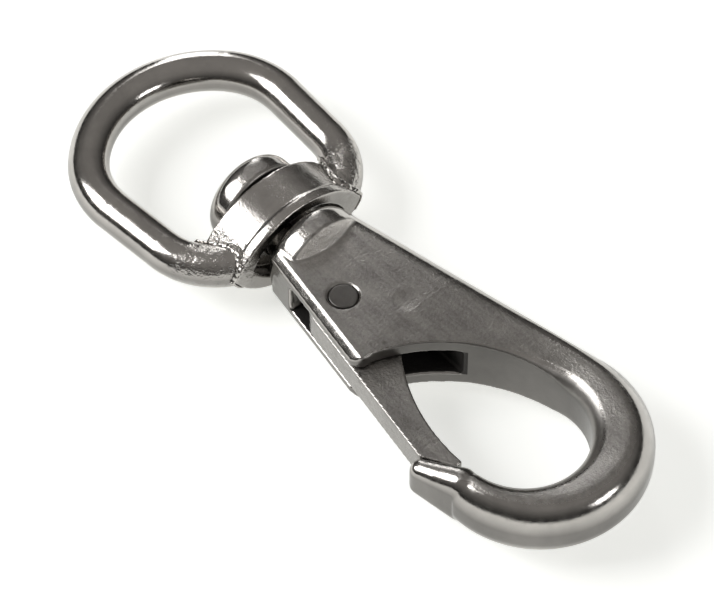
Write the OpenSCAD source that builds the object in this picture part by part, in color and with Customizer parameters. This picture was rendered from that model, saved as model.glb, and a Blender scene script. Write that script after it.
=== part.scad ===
// Swivel snap hook: a cast hook with a sprung gate, and a welded rod eye that
// turns on the hook's headed shank.
//
// Frame: +X runs along the swivel axis from the eye to the hook, +Z is square
// to the flat of the hook. The origin is on the swivel axis, level with the
// widest part of the eye. All sizes are in millimetres.

/* [Eye] */
// Diameter of the eye's round rod
rod_d = 5; // [4:0.1:6]
// Width of the eye's opening at its widest
eye_w = 21.6; // [18:0.2:28]
// Radius of the rod's centreline at each side of the bow
bow_side_r = 10.2; // [8:0.1:12]
// Angle from the swivel axis at which the flatter end of the bow begins
bow_blend = 48; // [40:1:60]
// Length of each straight leg
leg_len = 8.4; // [7:0.1:14]
// Angle by which each leg leans in towards the collar
leg_toe_in = 4; // [0:0.5:8]
// Radius of the rod's centreline where it turns in to the collar
corner_r = 8.6; // [7.5:0.1:10]

/* [Collar] */
// Width of the collar across the eye
collar_w = 19; // [17:0.5:22]
// Height of the collar over its arch
collar_h = 11.2; // [10:0.1:14]
// Length of the collar along the swivel axis
collar_len = 6.4; // [5:0.1:9]
// Thickness of the rim around the collar's hollow face
collar_rim = 1.3; // [0.8:0.1:2]
// Depth of the collar's hollow face
collar_recess = 2; // [0.5:0.1:3]
// Height of the bead along the collar's rim
collar_bead = 0.25; // [0.1:0.05:0.4]

/* [Swivel] */
// Diameter of the shank
shank_d = 7; // [5:0.1:8]
// Radial clearance of the shank in the collar
shank_clear = 0.08; // [0.02:0.01:0.1]
// Diameter of the shank's head
head_d = 12; // [10:0.2:14]
// Thickness of the head
head_t = 3.8; // [2.5:0.1:5]
// Rounding of the head's outer edge
head_round = 2.2; // [0.5:0.1:2.6]
// End play between the head and the collar
head_gap = 0.2; // [0.1:0.05:0.6]
// Gap between the collar and the shoulder
shoulder_gap = 0.5; // [0.3:0.1:2]
// Diameter of the round shoulder
shoulder_d = 12.2; // [10:0.1:14]
// Length of the round shoulder
shoulder_len = 4.4; // [3.6:0.1:6]
// Rounding of the shoulder's edge
shoulder_round = 1.9; // [0.5:0.1:2.5]
// Length of the slope behind the shoulder
shoulder_slope = 1.3; // [0.4:0.1:2]

/* [Hook body] */
// Thickness of the hook body
body_t = 7.6; // [6.6:0.1:9]
// Length from the shoulder's end face to the tip of the hook
hook_len = 52.5; // [50:0.2:60]
// Outer radius of the hook's bow
bow_r = 13.1; // [12.5:0.1:14]
// Distance of the bow's centre from the swivel axis
bow_y = 0.3; // [-0.5:0.1:1]
// Angle of the straight spine to the swivel axis
spine_angle = 11; // [9:0.5:12]
// Rounding of the spine and of the bow's outer edge
edge_r = 3.3; // [1.5:0.1:3.3]
// Distance from the swivel axis to the front face, at the shoulder's end face
front_y = 5.65; // [5.3:0.05:6.3]
// Angle of the front face to the swivel axis
front_angle = 10.2; // [9:0.1:11]
// Chamfer along the front face
front_chamfer = 0.9; // [0.4:0.1:1.2]
// Radius of the round end of the hook's opening
hole_r = 7.7; // [7:0.1:8]
// Radius of the long curve at the back of the hook's opening
throat_r = 19.7; // [18.5:0.1:21]
// Rounding of the edges around the hook's opening
hole_round = 1.9; // [0.8:0.1:2]
// Diameter of the plain dimple in each cheek
dimple_d = 3.4; // [2:0.1:4]
// Depth of the plain dimple
dimple_depth = 0.15; // [0.1:0.05:0.5]

/* [Gate] */
// Thickness of the gate
gate_t = 3.6; // [3:0.1:4.2]
// Clearance on each side of the gate in its slot
gate_clear = 0.2; // [0.1:0.05:0.4]
// Diameter of the pivot pin
pin_d = 3.4; // [2.6:0.1:4]
// Radial clearance of the pin in the gate
pin_clear = 0.06; // [0.02:0.01:0.1]
// Distance of the pivot from the shoulder's end face, along the axis
pin_x = 11.2; // [10.6:0.1:12]
// Radius of the gate's round heel
heel_r = 3.9; // [3.4:0.1:4.2]
// Radius of the gate's hollow inner edge
gate_inner_r = 25; // [22:0.5:30]
// Gap between the gate's end and the nose
nose_gap = 0.15; // [0.1:0.05:0.3]
// Radius of the lip at the nose's end
lip_r = 1.3; // [1:0.1:1.5]
// Height of the lip
lip_h = 5; // [4:0.1:6]
// Radius of the nose where it joins the bow
root_r = 2.05; // [1.8:0.05:2.3]

/* [Spring] */
// Outer diameter of the gate's spring
spring_d = 2.4; // [2:0.1:2.6]
// Diameter of the spring's wire
spring_wire = 0.4; // [0.3:0.05:0.5]
// Number of coils
spring_coils = 9; // [6:1:12]
// Clearance of the spring in its holes, all round
spring_clear = 0.15; // [0.1:0.05:0.2]

/* [Hidden] */
$fn = 96;
far = 60;

// eye
rod_r = rod_d / 2;
rod_draw = 0.02;
rod_lap = 0.3;
weld_t = 0.4;
weld_w = 0.7;
eye_half = eye_w / 2 + rod_r;
side_y = eye_half - bow_side_r;
end_cx = side_y / tan(bow_blend);
end_r = bow_side_r + side_y / sin(bow_blend);
lean = 90 - leg_toe_in;
leg_x0 = bow_side_r * cos(lean);
leg_y0 = side_y + bow_side_r * sin(lean);
leg_x1 = leg_x0 + leg_len * cos(leg_toe_in);
leg_y1 = leg_y0 - leg_len * sin(leg_toe_in);
corner_x = leg_x1 - corner_r * cos(lean);
corner_y = leg_y1 - corner_r * sin(lean);
meet = asin((collar_w / 2 - 1.1 - corner_y) / corner_r);
rod_end = asin((collar_w / 2 - 2.9 - corner_y) / corner_r);

// collar
collar_mid = corner_x + corner_r * cos(meet) - 0.6;
collar_x0 = collar_mid - collar_len / 2;
collar_x1 = collar_mid + collar_len / 2;
bore_r = shank_d / 2 + shank_clear;

// swivel
head_x1 = collar_x0 - head_gap;
head_x0 = head_x1 - head_t;
shoulder_x0 = collar_x1 + shoulder_gap;
shoulder_x1 = shoulder_x0 + shoulder_len;
neck_x = shoulder_x0 + shoulder_round * 0.6;

// hook body: neighbouring shapes lap by this much, and meet a hair apart in height
body_z = body_t / 2;
edge = min(edge_r, body_z - 0.5);
lap = 0.3;
blend = 0.02;
bow_x = shoulder_x0 + hook_len - bow_r;
spine_dir = [cos(spine_angle), sin(spine_angle)];
spine_end = [bow_x - bow_r * sin(spine_angle), bow_y + bow_r * cos(spine_angle)];
spine_run = (spine_end[0] - neck_x) / cos(spine_angle);
hole_x = bow_x - 1.2;
hole_y = bow_y - 1.3;
throat_y = hole_y + hole_r - throat_r;
fade_x = hole_round / sin(59);
fade_r = sqrt(throat_r * throat_r + fade_x * fade_x);
function front_line(x) = -front_y - (x - shoulder_x0) * tan(front_angle);
lip = [bow_x - 5.6, bow_y - bow_r + 0.4];
root = [bow_x - 0.8, bow_y - bow_r + 0.15 + root_r];
seat_angle = atan2(root[1] - lip[1], root[0] - lip[0]) + asin((root_r - lip_r) / norm(root - lip));
seat_x = root[0] - root_r * sin(seat_angle);
seat_y = root[1] + root_r * cos(seat_angle);
function seat_line(x) = seat_y + (x - seat_x) * tan(seat_angle);
throat_x = hole_x - throat_r;
front_corner_x = throat_x - 0.5;
front_corner_r = 1.6;
corner_angle = 45;

// gate
pivot_x = shoulder_x0 + pin_x;
pin_edge = 0.25;
pivot_y = front_line(pivot_x) + heel_r / cos(front_angle) + 0.05;
gate_z = gate_t / 2;
slot_z = gate_z + gate_clear;
gate_cy = seat_y + gate_inner_r + 0.4;
gate_cx = seat_x - 1.8;
slot_x0 = shoulder_x0 + 5.2;
slot_x1 = throat_x + 7.3;
slot_top = pivot_y + 5.8;
end_lift = nose_gap / cos(seat_angle);
gate_end_x = (seat_y + end_lift - seat_x * tan(seat_angle) + front_y
              - shoulder_x0 * tan(front_angle)) / (-tan(front_angle) - tan(seat_angle));
gate_tip_x = seat_x - 1.3;
gate_back_x = front_corner_x;

// spring
spring_x = pivot_x + 5.2;
spring_y0 = pivot_y - 0.9;
spring_y1 = slot_top + 2.4;
spring_hole_r = spring_d / 2 + spring_clear;

// one bent stretch of rod about [x, y], from angle a0 to angle a1
module rod_arc(x, y, r, a0, a1, wire_r) {
    translate([x, y, 0])
        rotate([0, 0, a0])
            rotate_extrude(angle = a1 - a0, $fn = 72)
                translate([r, 0])
                    circle(r = wire_r, $fn = 36);
}

// the shoulder of the bow, one leg and one corner
module rod_side() {
    rod_arc(0, side_y, bow_side_r, lean, 180 - bow_blend, rod_r);
    translate([leg_x0, leg_y0, 0])
        rotate([0, 90, -leg_toe_in])
            translate([0, 0, -rod_lap])
                cylinder(r = rod_r - rod_draw, h = leg_len + 2 * rod_lap, $fn = 36);
    rod_arc(corner_x, corner_y, corner_r, rod_end, lean, rod_r);
}

// bending leaves the legs and the flatter end a hair thinner than the bends
module rod_shape() {
    turn = bow_blend + rod_lap / end_r * 180 / PI;
    rod_arc(end_cx, 0, end_r, 180 - turn, 180 + turn, rod_r - rod_draw);
    rod_side();
    mirror([0, 1, 0])
        rod_side();
}

// lens outline across the swivel axis, w wide and h high
module lens(w, h) {
    r = (w * w / 4 + h * h / 4) / h;
    intersection() {
        translate([0, h / 2 - r])
            circle(r = r, $fn = 128);
        translate([0, r - h / 2])
            circle(r = r, $fn = 128);
    }
}

// lays a (y, z) outline along the swivel axis from x0
module along_x(x0, length) {
    translate([x0, 0, 0])
        rotate([90, 0, 90])
            linear_extrude(length)
                children();
}

// the collar's outside, with a bead along its rim, carried on past the rim by extra
module collar_blank(extra = 0) {
    along_x(collar_x0, collar_len - 0.01)
        lens(collar_w, collar_h);
    along_x(collar_x1 - collar_rim, collar_rim + extra)
        lens(collar_w + 2 * collar_bead, collar_h + 2 * collar_bead);
}

module eye_rod() {
    color([0.60, 0.58, 0.56])
        difference() {
            rod_shape();
            collar_blank(3);
        }
}

module eye_collar() {
    color([0.66, 0.64, 0.62])
        difference() {
            collar_blank();
            along_x(collar_x0 - 1, collar_len + 2)
                circle(r = bore_r);
            along_x(collar_x1 - collar_recess, collar_recess + 1)
                lens(collar_w - 4 * collar_rim, collar_h - 2 * collar_rim);
        }
}

// band of weld metal around one end of the rod, where it meets the collar
module weld_bead() {
    difference() {
        intersection() {
            rod_arc(corner_x, corner_y, corner_r, rod_end, lean, rod_r + weld_t);
            along_x(collar_x0 - 1, collar_len + 2)
                lens(collar_w + 2 * weld_w, collar_h + 2 * weld_w);
        }
        rod_arc(corner_x, corner_y, corner_r, rod_end - 1, lean + 1, rod_r);
        translate([-2, 0, 0])
            along_x(collar_x0, collar_len + 4)
                lens(collar_w, collar_h);
        collar_blank(3);
    }
}

module weld_spine_side() {
    color([0.72, 0.71, 0.69])
        weld_bead();
}

module weld_gate_side() {
    color([0.72, 0.71, 0.69])
        mirror([0, 1, 0])
            weld_bead();
}

// half outline of the head, shank and shoulder, turned about the swivel axis
module swivel_outline() {
    intersection() {
        union() {
            translate([head_x0 + head_round, 0])
                square([head_t - head_round, head_d / 2]);
            translate([head_x0, 0])
                square([head_round + 0.3, head_d / 2 - head_round]);
            translate([head_x0 + head_round, head_d / 2 - head_round])
                intersection() {
                    circle(r = head_round, $fn = 32);
                    translate([-head_round, -0.01])
                        square(head_round + 0.01);
                }
        }
        square([far, far]);
    }
    translate([head_x1 - 0.5, 0])
        square([shoulder_x0 - head_x1 + 1, shank_d / 2]);
    polygon([
        [shoulder_x0 + shoulder_round, 0],
        [shoulder_x0 + shoulder_round, shoulder_d / 2],
        [shoulder_x1 - shoulder_slope / 2, shoulder_d / 2],
        [shoulder_x1 + shoulder_slope / 2, body_z - 0.3],
        [shoulder_x1 + shoulder_slope / 2, 0],
    ]);
    translate([shoulder_x0, 0])
        square([shoulder_round + 0.3, shoulder_d / 2 - shoulder_round]);
    translate([shoulder_x0 + shoulder_round, shoulder_d / 2 - shoulder_round])
        intersection() {
            circle(r = shoulder_round, $fn = 32);
            translate([-shoulder_round, -0.01])
                square(shoulder_round + 0.01);
        }
}

module swivel_turned() {
    rotate([0, 90, 0])
        rotate([0, 0, 90])
            rotate_extrude($fn = 64)
                rotate([0, 0, 90])
                    mirror([0, 1])
                        swivel_outline();
}

// slab edge: full thickness up to the edge, rounded over on its outside
module slab_edge(reach) {
    translate([-reach, -body_z])
        square([reach - edge, body_t]);
    translate([-edge - 0.01, -body_z + edge])
        square([edge + 0.01, body_t - 2 * edge]);
    for (s = [-1, 1])
        translate([-edge, s * (body_z - edge)])
            circle(r = edge, $fn = 24);
}

// plan outline of the cheeks, between the neck, the front face and the spine
module cheek_plan() {
    corner = [front_corner_x, front_line(front_corner_x) + front_corner_r / cos(front_angle)];
    difference() {
        polygon([
            [neck_x, front_line(neck_x)],
            corner + front_corner_r * [-sin(front_angle), -cos(front_angle)],
            corner + front_corner_r * [sin(corner_angle), -cos(corner_angle)],
            corner + [3.5, 3.5 * tan(corner_angle)],
            [bow_x, bow_y] + lap * spine_dir,
            spine_end + lap * spine_dir,
            [neck_x, spine_end[1] - spine_run * sin(spine_angle)],
        ]);
        translate([hole_x, throat_y - blend])
            circle(r = throat_r, $fn = 192);
    }
    translate(corner)
        circle(r = front_corner_r - blend, $fn = 48);
}

// half of the front face's chamfer, as a wedge to cut away
module front_chamfer_cut() {
    translate([shoulder_x0, -front_y, 0])
        rotate([0, 0, -front_angle])
            for (s = [-1, 1])
                translate([-5, 0, s * body_z])
                    rotate([45, 0, 0])
                        cube([2 * far, front_chamfer * sqrt(2), front_chamfer * sqrt(2)],
                             center = true);
}

// the cheeks and the straight spine
module cheeks() {
    difference() {
        intersection() {
            translate([0, 0, -body_z])
                linear_extrude(body_t)
                    cheek_plan();
            translate([spine_end[0], spine_end[1], 0])
                rotate([0, 0, spine_angle])
                    translate([lap + 1, -blend, 0])
                        rotate([90, 0, -90])
                            linear_extrude(far)
                                mirror([1, 0])
                                    slab_edge(far);
        }
        front_chamfer_cut();
    }
}

// the bow, turned about its own centre from the nose round to the spine
module bow() {
    translate([bow_x, bow_y, 0])
        rotate([0, 0, -90])
            rotate_extrude(angle = 180 + spine_angle, $fn = 72)
                intersection() {
                    translate([bow_r, 0])
                        slab_edge(bow_r);
                    translate([0, -far])
                        square([far, 2 * far]);
                }
}

// upright round post of radius r and height h with domed ends
module post(at, r, h) {
    for (s = [-1, 1])
        translate([at[0], at[1], s * (h / 2 - r)])
            sphere(r = r, $fn = 24);
}

// the nose: a finger that tapers from the bow's end to the lip
module nose() {
    hull() {
        post(lip, lip_r, lip_h);
        post(root, root_r, body_t - 0.1);
    }
}

// ring to cut away, that leaves an opening of radius r with a rounded upper edge
module round_cut(r) {
    rotate_extrude($fn = 128)
        difference() {
            translate([r - 1, body_z - hole_round])
                square([hole_round + 1, hole_round + 1]);
            translate([r + hole_round, body_z - hole_round])
                circle(r = hole_round + blend, $fn = 32);
        }
}

// roundings that lead into the hook's opening from both faces
module opening_rounds() {
    for (s = [0, 1])
        mirror([0, 0, s]) {
            translate([hole_x, hole_y, 0])
                round_cut(hole_r);
            intersection() {
                translate([hole_x + fade_x, throat_y, 0])
                    round_cut(fade_r);
                translate([hole_x - far, -far, 0])
                    cube([far, 2 * far, far]);
            }
        }
}

// slot that the gate swings in, open at the front and in the opening's wall
module gate_slot() {
    linear_extrude(2 * slot_z, center = true) {
        translate([slot_x0, -far / 2])
            square([slot_x1 - slot_x0 - 1, far / 2 + slot_top]);
        translate([slot_x0, -far / 2])
            square([slot_x1 - slot_x0, far / 2 + slot_top - 1]);
        translate([slot_x1 - 1, slot_top - 1])
            circle(r = 1, $fn = 32);
    }
}

// hole along Y that holds one end of the spring
module spring_hole(y0, y1) {
    translate([spring_x, y0, 0])
        rotate([-90, 0, 0])
            cylinder(r = spring_hole_r, h = y1 - y0, $fn = 32);
}

module hook_body() {
    dimple_r = (dimple_d * dimple_d / 4 + dimple_depth * dimple_depth) / (2 * dimple_depth);
    color([0.55, 0.53, 0.51])
        difference() {
            union() {
                swivel_turned();
                cheeks();
                bow();
                nose();
            }
            translate([hole_x, hole_y, -far])
                cylinder(r = hole_r, h = 2 * far, $fn = 192);
            opening_rounds();
            gate_slot();
            spring_hole(slot_top - 1, spring_y1);
            translate([pivot_x, pivot_y, -far / 2])
                cylinder(d = pin_d, h = far, $fn = 64);
            for (s = [0, 1])
                mirror([0, 0, s])
                    translate([pivot_x, pivot_y, body_z - pin_edge])
                        cylinder(d1 = pin_d, d2 = pin_d + 4 * pin_edge, h = 2 * pin_edge, $fn = 64);
            for (s = [-1, 1])
                translate([pivot_x + 5.2, pivot_y + 4.8, s * (body_z + dimple_r - dimple_depth)])
                    sphere(r = dimple_r, $fn = 96);
        }
}

// plan outline of the gate, closed
module gate_plan() {
    end_y = front_line(gate_end_x);
    difference() {
        union() {
            translate([pivot_x, pivot_y])
                circle(r = heel_r, $fn = 96);
            difference() {
                polygon([
                    [pivot_x - heel_r * sin(front_angle), pivot_y - heel_r * cos(front_angle)],
                    [gate_end_x, end_y],
                    [gate_tip_x, seat_line(gate_tip_x) + end_lift],
                    [gate_tip_x, gate_cy - gate_inner_r + 2],
                    [gate_back_x, pivot_y + 2.6],
                    [pivot_x + heel_r * sin(10), pivot_y + heel_r * cos(10)],
                ]);
                translate([gate_cx, gate_cy])
                    circle(r = gate_inner_r, $fn = 256);
            }
        }
        translate([pivot_x, pivot_y])
            circle(r = pin_d / 2 + pin_clear, $fn = 64);
    }
}

module gate() {
    color([0.52, 0.50, 0.47])
        difference() {
            linear_extrude(gate_t, center = true)
                gate_plan();
            spring_hole(spring_y0, slot_top);
        }
}

module pivot_pin() {
    color([0.45, 0.43, 0.42])
        translate([pivot_x, pivot_y, 0])
            cylinder(d = pin_d, h = body_t - 0.1, center = true, $fn = 64);
}

// rings of points along the spring's helix, 8 round the wire
spring_ring = 8;
spring_steps = 24;
spring_mid_r = (spring_d - spring_wire) / 2;
spring_rise = spring_y1 - spring_y0 - spring_wire;
spring_rings = spring_coils * spring_steps;
function coil_point(i, k) =
    let (turn = 360 * i / spring_steps,
         round_wire = 360 * k / spring_ring,
         reach = spring_mid_r + spring_wire / 2 * cos(round_wire))
    [reach * cos(turn),
     spring_wire / 2 + spring_rise * i / spring_rings + spring_wire / 2 * sin(round_wire),
     reach * sin(turn)];

module gate_spring() {
    points = [for (i = [0 : spring_rings], k = [0 : spring_ring - 1]) coil_point(i, k)];
    last = spring_rings * spring_ring;
    faces = concat(
        [for (i = [0 : spring_rings - 1], k = [0 : spring_ring - 1])
            let (a = i * spring_ring + k,
                 b = i * spring_ring + (k + 1) % spring_ring)
            [a, b, b + spring_ring, a + spring_ring]],
        [[for (k = [spring_ring - 1 : -1 : 0]) k]],
        [[for (k = [0 : spring_ring - 1]) last + k]]);
    color([0.70, 0.70, 0.70])
        translate([spring_x, spring_y0, 0])
            polyhedron(points = points, faces = faces);
}

eye_rod();
eye_collar();
weld_gate_side();
weld_spine_side();
hook_body();
gate();
pivot_pin();
gate_spring();
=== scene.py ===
import math

import bpy
from mathutils import Matrix, Vector


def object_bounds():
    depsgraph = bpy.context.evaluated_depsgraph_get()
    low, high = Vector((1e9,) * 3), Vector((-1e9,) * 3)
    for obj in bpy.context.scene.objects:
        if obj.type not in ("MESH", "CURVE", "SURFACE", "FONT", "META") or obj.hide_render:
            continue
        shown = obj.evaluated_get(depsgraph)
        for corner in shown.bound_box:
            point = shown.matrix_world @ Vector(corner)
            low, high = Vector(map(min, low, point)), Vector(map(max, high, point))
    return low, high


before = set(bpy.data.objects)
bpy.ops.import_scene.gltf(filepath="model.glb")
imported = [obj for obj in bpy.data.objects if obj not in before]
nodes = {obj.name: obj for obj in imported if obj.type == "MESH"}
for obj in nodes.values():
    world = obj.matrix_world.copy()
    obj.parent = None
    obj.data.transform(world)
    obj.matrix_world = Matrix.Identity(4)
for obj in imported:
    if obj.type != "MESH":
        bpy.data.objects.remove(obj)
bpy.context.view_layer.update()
scene = bpy.context.scene


# ---------------------------------------------------------------- materials
class Tree:
    """Small helper that builds one material's nodes."""

    def __init__(self, name):
        self.m = bpy.data.materials.new(name)
        self.m.use_nodes = True
        self.t = self.m.node_tree
        self.t.nodes.clear()
        self.out = self.add("ShaderNodeOutputMaterial")
        self.bsdf = self.add("ShaderNodeBsdfPrincipled")
        self.link(self.bsdf.outputs[0], self.out.inputs[0])
        self.co = self.add("ShaderNodeTexCoord")
        sep = self.add("ShaderNodeSeparateXYZ")
        self.link(self.co.outputs["Object"], sep.inputs[0])
        self.x, self.y, self.z = sep.outputs
        sep = self.add("ShaderNodeSeparateXYZ")
        self.link(self.co.outputs["Normal"], sep.inputs[0])
        self.nx, self.ny, nz = sep.outputs
        self.facing = self.math("ABSOLUTE", nz)

    def add(self, kind, **props):
        n = self.t.nodes.new(kind)
        for k, v in props.items():
            setattr(n, k, v)
        return n

    def link(self, a, b):
        self.t.links.new(a, b)

    def feed(self, value, socket):
        """Sets a plain number or colour on the socket itself, and links anything else."""
        if isinstance(value, (int, float)):
            socket.default_value = value
        elif isinstance(value, tuple):
            socket.default_value = value + (1.0,)
        else:
            self.link(value, socket)

    def noise(self, scale, detail=4.0, rough=0.55, stretch=None):
        n = self.add("ShaderNodeTexNoise")
        n.inputs["Scale"].default_value = scale
        n.inputs["Detail"].default_value = detail
        n.inputs["Roughness"].default_value = rough
        if stretch:
            mp = self.add("ShaderNodeMapping")
            mp.inputs["Scale"].default_value = stretch[:3]
            mp.inputs["Rotation"].default_value = (0.0, 0.0, stretch[3])
            self.link(self.co.outputs["Object"], mp.inputs["Vector"])
            self.link(mp.outputs[0], n.inputs["Vector"])
        else:
            self.link(self.co.outputs["Object"], n.inputs["Vector"])
        return n.outputs["Fac"]

    def spots(self, scale, size):
        """0 in small round spots scattered at random, 1 elsewhere."""
        v = self.add("ShaderNodeTexVoronoi")
        v.inputs["Scale"].default_value = scale
        self.link(self.co.outputs["Object"], v.inputs["Vector"])
        return self.remap(v.outputs["Distance"], size * 0.4, size, 0.0, 1.0)

    def ramp(self, src, stops):
        r = self.add("ShaderNodeValToRGB")
        el = r.color_ramp.elements
        while len(el) < len(stops):
            el.new(0.5)
        for e, (pos, col) in zip(el, stops):
            e.position = pos
            e.color = tuple(col) + (1.0,)
        self.link(src, r.inputs[0])
        return r.outputs[0]

    def remap(self, src, a, b, lo, hi):
        r = self.add("ShaderNodeMapRange", clamp=True)
        for i, v in enumerate((a, b, lo, hi)):
            r.inputs[i + 1].default_value = v
        self.link(src, r.inputs[0])
        return r.outputs[0]

    def math(self, op, a, b=None):
        n = self.add("ShaderNodeMath", operation=op)
        self.feed(a, n.inputs[0])
        if b is not None:
            self.feed(b, n.inputs[1])
        return n.outputs[0]

    def mix(self, fac, a, b):
        n = self.add("ShaderNodeMix", data_type="FLOAT")
        for i, v in zip((0, 2, 3), (fac, a, b)):
            self.feed(v, n.inputs[i])
        return n.outputs[0]

    def tint(self, fac, a, b):
        n = self.add("ShaderNodeMix", data_type="RGBA")
        for i, v in zip((0, 6, 7), (fac, a, b)):
            self.feed(v, n.inputs[i])
        return n.outputs[2]

    def scale(self, colour, by):
        n = self.add("ShaderNodeVectorMath", operation="SCALE")
        self.feed(colour, n.inputs[0])
        self.feed(by, n.inputs["Scale"])
        return n.outputs[0]

    def offset(self, centre):
        """Distance along X and along Y from a point in plan."""
        return self.math("SUBTRACT", self.x, centre[0]), self.math("SUBTRACT", self.y, centre[1])

    def bump(self, height, strength, distance, under=None):
        n = self.add("ShaderNodeBump")
        n.inputs["Distance"].default_value = distance
        self.feed(strength, n.inputs["Strength"])
        self.link(height, n.inputs["Height"])
        if under is not None:
            self.link(under, n.inputs["Normal"])
        return n.outputs[0]


SPECK_TINT = (0.10, 0.09, 0.085)
# painted shade: near-black colour for the slot where the gate sits, standing in for the shade in that recess
SLOT_SHADE_COLOUR = (0.05, 0.047, 0.045)


def steel(name, colour, rough, grain, flat=None, side=1.0, specks=0.0, fine=3200.0, extra=None):
    """Stainless steel with a cloudy tint, uneven gloss, fine grain and painted shade on its upright faces
    where side is below 1.

    colour  darker and lighter tint of the rounded surfaces
    rough   lowest and highest roughness of the rounded surfaces
    grain   depth of the fine grain
    flat    (darker tint, lighter tint, lowest, highest roughness, grain) of the faces square to Z
    side    painted shade: tint of the faces parallel to Z, as a share of colour
    extra   function that changes (base, gloss, normal) for one piece
    """
    t = Tree(name)
    t.bsdf.inputs["Metallic"].default_value = 1.0
    t.cloud = t.noise(130.0, 5.0, 0.62)
    base = t.ramp(t.cloud, [(0.32, colour[0]), (0.70, colour[1])])
    # painted shade: faces parallel to Z darken towards the side share of the colour
    base = t.scale(base, t.remap(t.facing, 0.10, 0.55, side, 1.0))
    speck = t.noise(1100.0, 3.0, 0.6)
    gloss = t.remap(speck, 0.35, 0.7, rough[0], rough[1])
    depth = grain
    if flat:
        on = t.remap(t.facing, 0.93, 0.992, 0.0, 1.0)
        streak = t.noise(900.0, 3.0, 0.6, stretch=(0.12, 1.0, 1.0, 0.45))
        mott = t.math("ADD", t.math("MULTIPLY", t.cloud, 0.40), t.math("MULTIPLY", streak, 0.30))
        mott = t.math("ADD", mott, t.math("MULTIPLY", t.noise(2400.0, 3.0, 0.7), 0.30))
        matt = t.ramp(mott, [(0.38, flat[0]), (0.62, flat[1])])
        base = t.tint(on, base, matt)
        gloss = t.mix(on, gloss, t.remap(speck, 0.3, 0.75, flat[2], flat[3]))
        depth = t.mix(on, grain, flat[4])
    if specks:
        pit = t.spots(330.0, 0.17)
        few = t.math("GREATER_THAN", t.noise(70.0, 1.0), 0.52)
        pit = t.math("MAXIMUM", pit, t.math("SUBTRACT", 1.0, few))
        dark = t.math("MULTIPLY", t.math("SUBTRACT", 1.0, pit), specks)
        base = t.tint(dark, base, SPECK_TINT)
    swell = t.bump(t.noise(300.0, 2.0, 0.5), 0.10, 0.00010)
    height = t.math("MULTIPLY", t.noise(fine, 3.0, 0.65), depth)
    normal = t.bump(height, 1.0, 0.0001, swell)
    if extra:
        base, gloss, normal = extra(t, base, gloss, normal)
    t.link(base, t.bsdf.inputs["Base Color"])
    t.link(gloss, t.bsdf.inputs["Roughness"])
    t.link(normal, t.bsdf.inputs["Normal"])
    return t.m


def grey(v, warm=0.042):
    """A warm steel grey."""
    return (v * (1 + warm), v, v * (1 - 1.2 * warm))


def sparkle(t, zone, base, gloss, normal, strength=0.52):
    """Lumpy, glossy metal within a zone, as heat and weld metal leave it."""
    lumps = t.noise(750.0, 4.0, 0.65)
    normal = t.bump(lumps, t.math("MULTIPLY", zone, strength), 0.0006, normal)
    gloss = t.mix(zone, gloss, t.remap(lumps, 0.3, 0.7, 0.10, 0.30))
    return base, gloss, normal


def beside_weld(half_width, x0, x1):
    """Change for a welded piece: lumpy past a half width across the swivel axis and past a place along it."""
    def change(t, base, gloss, normal):
        across = t.math("ADD", t.math("ABSOLUTE", t.y), t.math("MULTIPLY", t.cloud, 0.003))
        zone = t.remap(across, half_width, half_width + 0.0012, 0.0, 1.0)
        zone = t.math("MULTIPLY", zone, t.remap(t.x, x0, x1, 0.0, 1.0))
        return sparkle(t, zone, base, gloss, normal)
    return change


# places on the hook body, in metres: middle of its opening, centre of its bow, its slot and its step
OPENING = (0.0525, -0.0030)
BOW = (0.0584, 0.0003)
BAND_MID = 0.0104
BAND_HALF = 0.0029
DOME = 0.00105
SPINE = math.radians(11.0)
SLOT_HALF, SLOT_START, SLOT_END, SLOT_TOP = 0.00204, 0.0242, 0.0448, 0.0046
STEP_START, STEP_END = 0.0222, 0.0246


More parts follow.
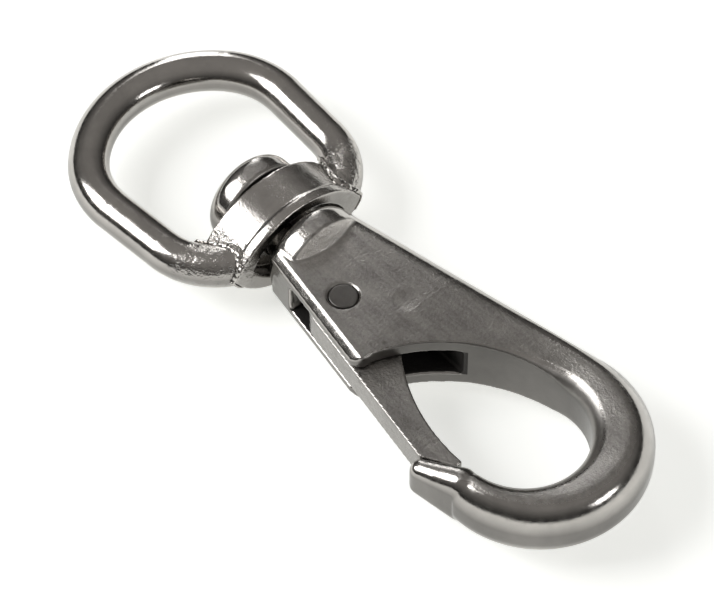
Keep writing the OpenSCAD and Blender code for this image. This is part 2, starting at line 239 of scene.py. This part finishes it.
def cast_body(t, base, gloss, normal):
    """The hook body's slot painted near black as shade, its satin throat darkened with painted shade, a
    painted highlight over the lumpy, rougher step behind the shoulder, and a rounder bow.
    """
    # painted shade: the slot's walls are coloured near black for the shade in the recess, and made rougher
    low = t.math("LESS_THAN", t.math("ABSOLUTE", t.z), SLOT_HALF)
    along = t.math("MULTIPLY", t.math("LESS_THAN", t.x, SLOT_END), t.math("GREATER_THAN", t.x, SLOT_START))
    shaded_slot = t.math("MULTIPLY", low, along)
    shaded_slot = t.math("MULTIPLY", shaded_slot, t.math("LESS_THAN", t.y, SLOT_TOP))
    base = t.tint(shaded_slot, base, SLOT_SHADE_COLOUR)
    gloss = t.mix(shaded_slot, gloss, 0.7)
    # painted shade: the satin throat wall facing the opening is darkened to 0.85 of its colour
    dx, dy = t.offset(OPENING)
    inward = t.math("ADD", t.math("MULTIPLY", dx, t.nx), t.math("MULTIPLY", dy, t.ny))
    throat = t.remap(inward, -0.0058, -0.0030, 1.0, 0.0)
    base = t.scale(base, t.mix(throat, 1.0, 0.85))
    gloss = t.mix(throat, gloss, 0.34)
    # painted highlight: the step behind the shoulder is tinted light grey for the light it catches; its lumps
    # and rougher gloss are surface texture
    step = t.math("MULTIPLY", t.remap(t.nx, 0.45, 0.75, 0.0, 1.0), t.math("GREATER_THAN", t.x, STEP_START))
    step = t.math("MULTIPLY", step, t.math("LESS_THAN", t.x, STEP_END))
    base = t.tint(step, base, grey(0.78))
    lumps = t.noise(1500.0, 4.0, 0.7)
    normal = t.bump(lumps, t.math("MULTIPLY", step, 1.0), 0.0004, normal)
    gloss = t.mix(step, gloss, 0.30)
    bx, by = t.offset(BOW)
    rho = t.math("SQRT", t.math("ADD", t.math("MULTIPLY", bx, bx), t.math("MULTIPLY", by, by)))
    lean_s, lean_c = math.sin(SPINE), math.cos(SPINE)
    off_spine = t.math("ADD", t.math("MULTIPLY", bx, lean_s), t.math("MULTIPLY", by, lean_c))
    past = t.math("SUBTRACT", t.math("MULTIPLY", bx, lean_c), t.math("MULTIPLY", by, lean_s))
    on_spine = t.math("MULTIPLY", t.math("LESS_THAN", past, 0.0), t.math("GREATER_THAN", by, 0.0))
    away = t.math("SUBTRACT", t.mix(on_spine, rho, off_spine), BAND_MID)
    away = t.math("MULTIPLY", away, 1.0 / BAND_HALF)
    dome = t.math("EXPONENT", t.math("MULTIPLY", t.math("MULTIPLY", away, away), -1.0))
    dome = t.math("SUBTRACT", dome, 1.0)
    dome = t.math("MULTIPLY", dome, t.remap(t.x, 0.0370, 0.0570, 0.0, DOME))
    past_nose = t.remap(t.x, 0.0550, 0.0640, 0.0, 1.0)
    above_nose = t.remap(t.y, -0.0095, -0.0040, 0.0, 1.0)
    clear = t.math("MAXIMUM", past_nose, above_nose)
    normal = t.bump(t.math("MULTIPLY", dome, clear), 1.0, 1.0, normal)
    return base, gloss, normal


# side= is each piece's painted shade on its faces parallel to Z
m_rod = steel("rod_steel", (grey(0.40), grey(0.53)), (0.10, 0.20), 0.10, side=0.52,
              extra=beside_weld(0.0098, 0.0112, 0.0130))
m_collar = steel("collar_steel", (grey(0.40), grey(0.56)), (0.16, 0.28), 0.22, side=0.62,
                 extra=beside_weld(0.0078, 0.0120, 0.0124))
m_hook = steel("hook_steel", (grey(0.36), grey(0.49)), (0.11, 0.22), 0.10, side=0.44,
               flat=(grey(0.24), grey(0.46), 0.30, 0.44, 0.75), specks=0.5, extra=cast_body)
m_gate = steel("gate_steel", (grey(0.34), grey(0.46)), (0.22, 0.36), 0.30, side=0.66,
               flat=(grey(0.24), grey(0.44), 0.32, 0.46, 0.90), specks=0.5)
m_pin = steel("pin_steel", (grey(0.14), grey(0.22)), (0.28, 0.40), 0.50)
m_spring = steel("spring_steel", (grey(0.45), grey(0.55)), (0.20, 0.30), 0.10)
m_weld = steel("weld_steel", (grey(0.38), grey(0.58)), (0.10, 0.26), 0.5, side=0.75, fine=1500.0)

finish = {
    "eye_rod": m_rod, "eye_collar": m_collar, "weld_gate_side": m_weld, "weld_spine_side": m_weld,
    "hook_body": m_hook, "gate": m_gate, "pivot_pin": m_pin, "gate_spring": m_spring,
}
for name, mat in finish.items():
    o = nodes[name]
    o.data.materials.clear()
    o.data.materials.append(mat)
    for p in o.data.polygons:
        p.material_index = 0


# ---------------------------------------------------------------- softened castings
def soften(name, voxel, passes):
    """Rounds over the edges of a CAD node's mesh, as tumbling does: its flats stay where they are."""
    o = nodes[name]
    r = o.modifiers.new("remesh", "REMESH")
    r.mode = "VOXEL"
    r.voxel_size = voxel
    r.adaptivity = 0.0
    r.use_smooth_shade = True
    s = o.modifiers.new("smooth", "SMOOTH")
    s.factor = 0.5
    s.iterations = passes
    return o


def lumpy(o, size, strength):
    """Uneven surface of weld metal."""
    tex = bpy.data.textures.new("lumps_" + o.name, "CLOUDS")
    tex.noise_scale = size
    tex.noise_depth = 2
    d = o.modifiers.new("lumps", "DISPLACE")
    d.texture = tex
    d.texture_coords = "LOCAL"
    d.strength = strength
    d.mid_level = 0.55


soften("hook_body", 0.00021, 6)
soften("eye_rod", 0.00022, 5)
soften("eye_collar", 0.00016, 5)
soften("gate", 0.00016, 4)
for side in ("weld_gate_side", "weld_spine_side"):
    lumpy(soften(side, 0.00012, 2), 0.0009, 0.0005)
soften("pivot_pin", 0.00012, 3)


# ---------------------------------------------------------------- floor, light, camera
AIM = Vector((0.028, 0.0, 0.0))


def panel(name, size, offset, power):
    """Rectangular soft light at an offset from the middle of the hook, aimed at it."""
    data = bpy.data.lights.new(name, "AREA")
    data.shape = "RECTANGLE"
    data.size, data.size_y = size
    data.energy = power
    o = bpy.data.objects.new(name, data)
    o.location = AIM + Vector(offset)
    o.rotation_euler = (AIM - (AIM + Vector(offset))).to_track_quat("-Z", "Y").to_euler()
    scene.collection.objects.link(o)


FLOOR_HALF = 3.0
FLOOR_GAP = 0.00002
floor_mesh = bpy.data.meshes.new("floor")
corners = [(x * FLOOR_HALF, y * FLOOR_HALF, 0) for x, y in ((-1, -1), (1, -1), (1, 1), (-1, 1))]
floor_mesh.from_pydata(corners, [], [(0, 1, 2, 3)])
floor = bpy.data.objects.new("floor", floor_mesh)
floor.location = (0, 0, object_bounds()[0][2] - FLOOR_GAP)
scene.collection.objects.link(floor)
ft = Tree("floor_white")
ft.bsdf.inputs["Roughness"].default_value = 0.9
pale = ft.ramp(ft.noise(14.0, 2.0), [(0.0, (0.86, 0.865, 0.86)), (1.0, (0.89, 0.89, 0.885))])
ft.link(pale, ft.bsdf.inputs["Base Color"])
ft.bsdf.inputs["Emission Color"].default_value = (0.985, 1.0, 0.965, 1.0)
ft.bsdf.inputs["Emission Strength"].default_value = 0.58
floor_mesh.materials.append(ft.m)

panel("key_left", (0.34, 0.34), (-0.33, -0.34, 0.40), 2.3)
panel("strip_back", (0.10, 0.40), (-0.50, 0.35, 0.22), 0.5)
panel("strip_right", (0.22, 0.12), (0.60, 0.20, 0.22), 0.6)

world = bpy.data.worlds.new("studio")
scene.world = world
world.use_nodes = True
wt = world.node_tree
bg = wt.nodes["Background"]
coord = wt.nodes.new("ShaderNodeTexCoord")
sep = wt.nodes.new("ShaderNodeSeparateXYZ")
sky = wt.nodes.new("ShaderNodeValToRGB")
wt.links.new(coord.outputs["Generated"], sep.inputs[0])
wt.links.new(sep.outputs["Z"], sky.inputs[0])
wt.links.new(sky.outputs[0], bg.inputs[0])
SKY_STEPS = [(0.0, 0.02), (0.24, 0.075), (0.5, 0.17), (0.78, 0.28), (1.0, 0.31)]
marks = sky.color_ramp.elements
while len(marks) < len(SKY_STEPS):
    marks.new(0.5)
for mark, (height, bright) in zip(marks, SKY_STEPS):
    mark.position = height
    mark.color = (bright * 1.03, bright * 0.99, bright * 0.95, 1.0)
bg.inputs[1].default_value = 1.0

scene.view_settings.view_transform = "Standard"
scene.view_settings.look = "None"
scene.view_settings.exposure = 0.0

# camera: turned and tipped about the part, half a metre off, with a long lens
SENSOR = 36.0
turn, tip, reach = math.radians(48.0), math.radians(52.0), 0.5
right = Vector((math.cos(turn), math.sin(turn), 0))
up = Vector((-math.sin(turn) * math.sin(tip), math.cos(turn) * math.sin(tip), math.cos(tip)))
back = Vector((math.sin(turn) * math.cos(tip), -math.cos(turn) * math.cos(tip), math.sin(tip)))
eye_point = right * 0.01997 - up * 0.01718 + back * reach + Vector((0, -0.0012, 0))
cam_data = bpy.data.cameras.new("camera")
cam = bpy.data.objects.new("camera", cam_data)
scene.collection.objects.link(cam)
cam_data.sensor_width = SENSOR
cam_data.sensor_fit = "HORIZONTAL"
cam_data.lens = SENSOR * 4240.0 / 714.0
cam_data.clip_start = 0.01
cam_data.clip_end = 20.0
cam.matrix_world = Matrix((
    (right[0], up[0], back[0], eye_point[0]),
    (right[1], up[1], back[1], eye_point[1]),
    (right[2], up[2], back[2], eye_point[2]),
    (0, 0, 0, 1),
))
scene.camera = cam
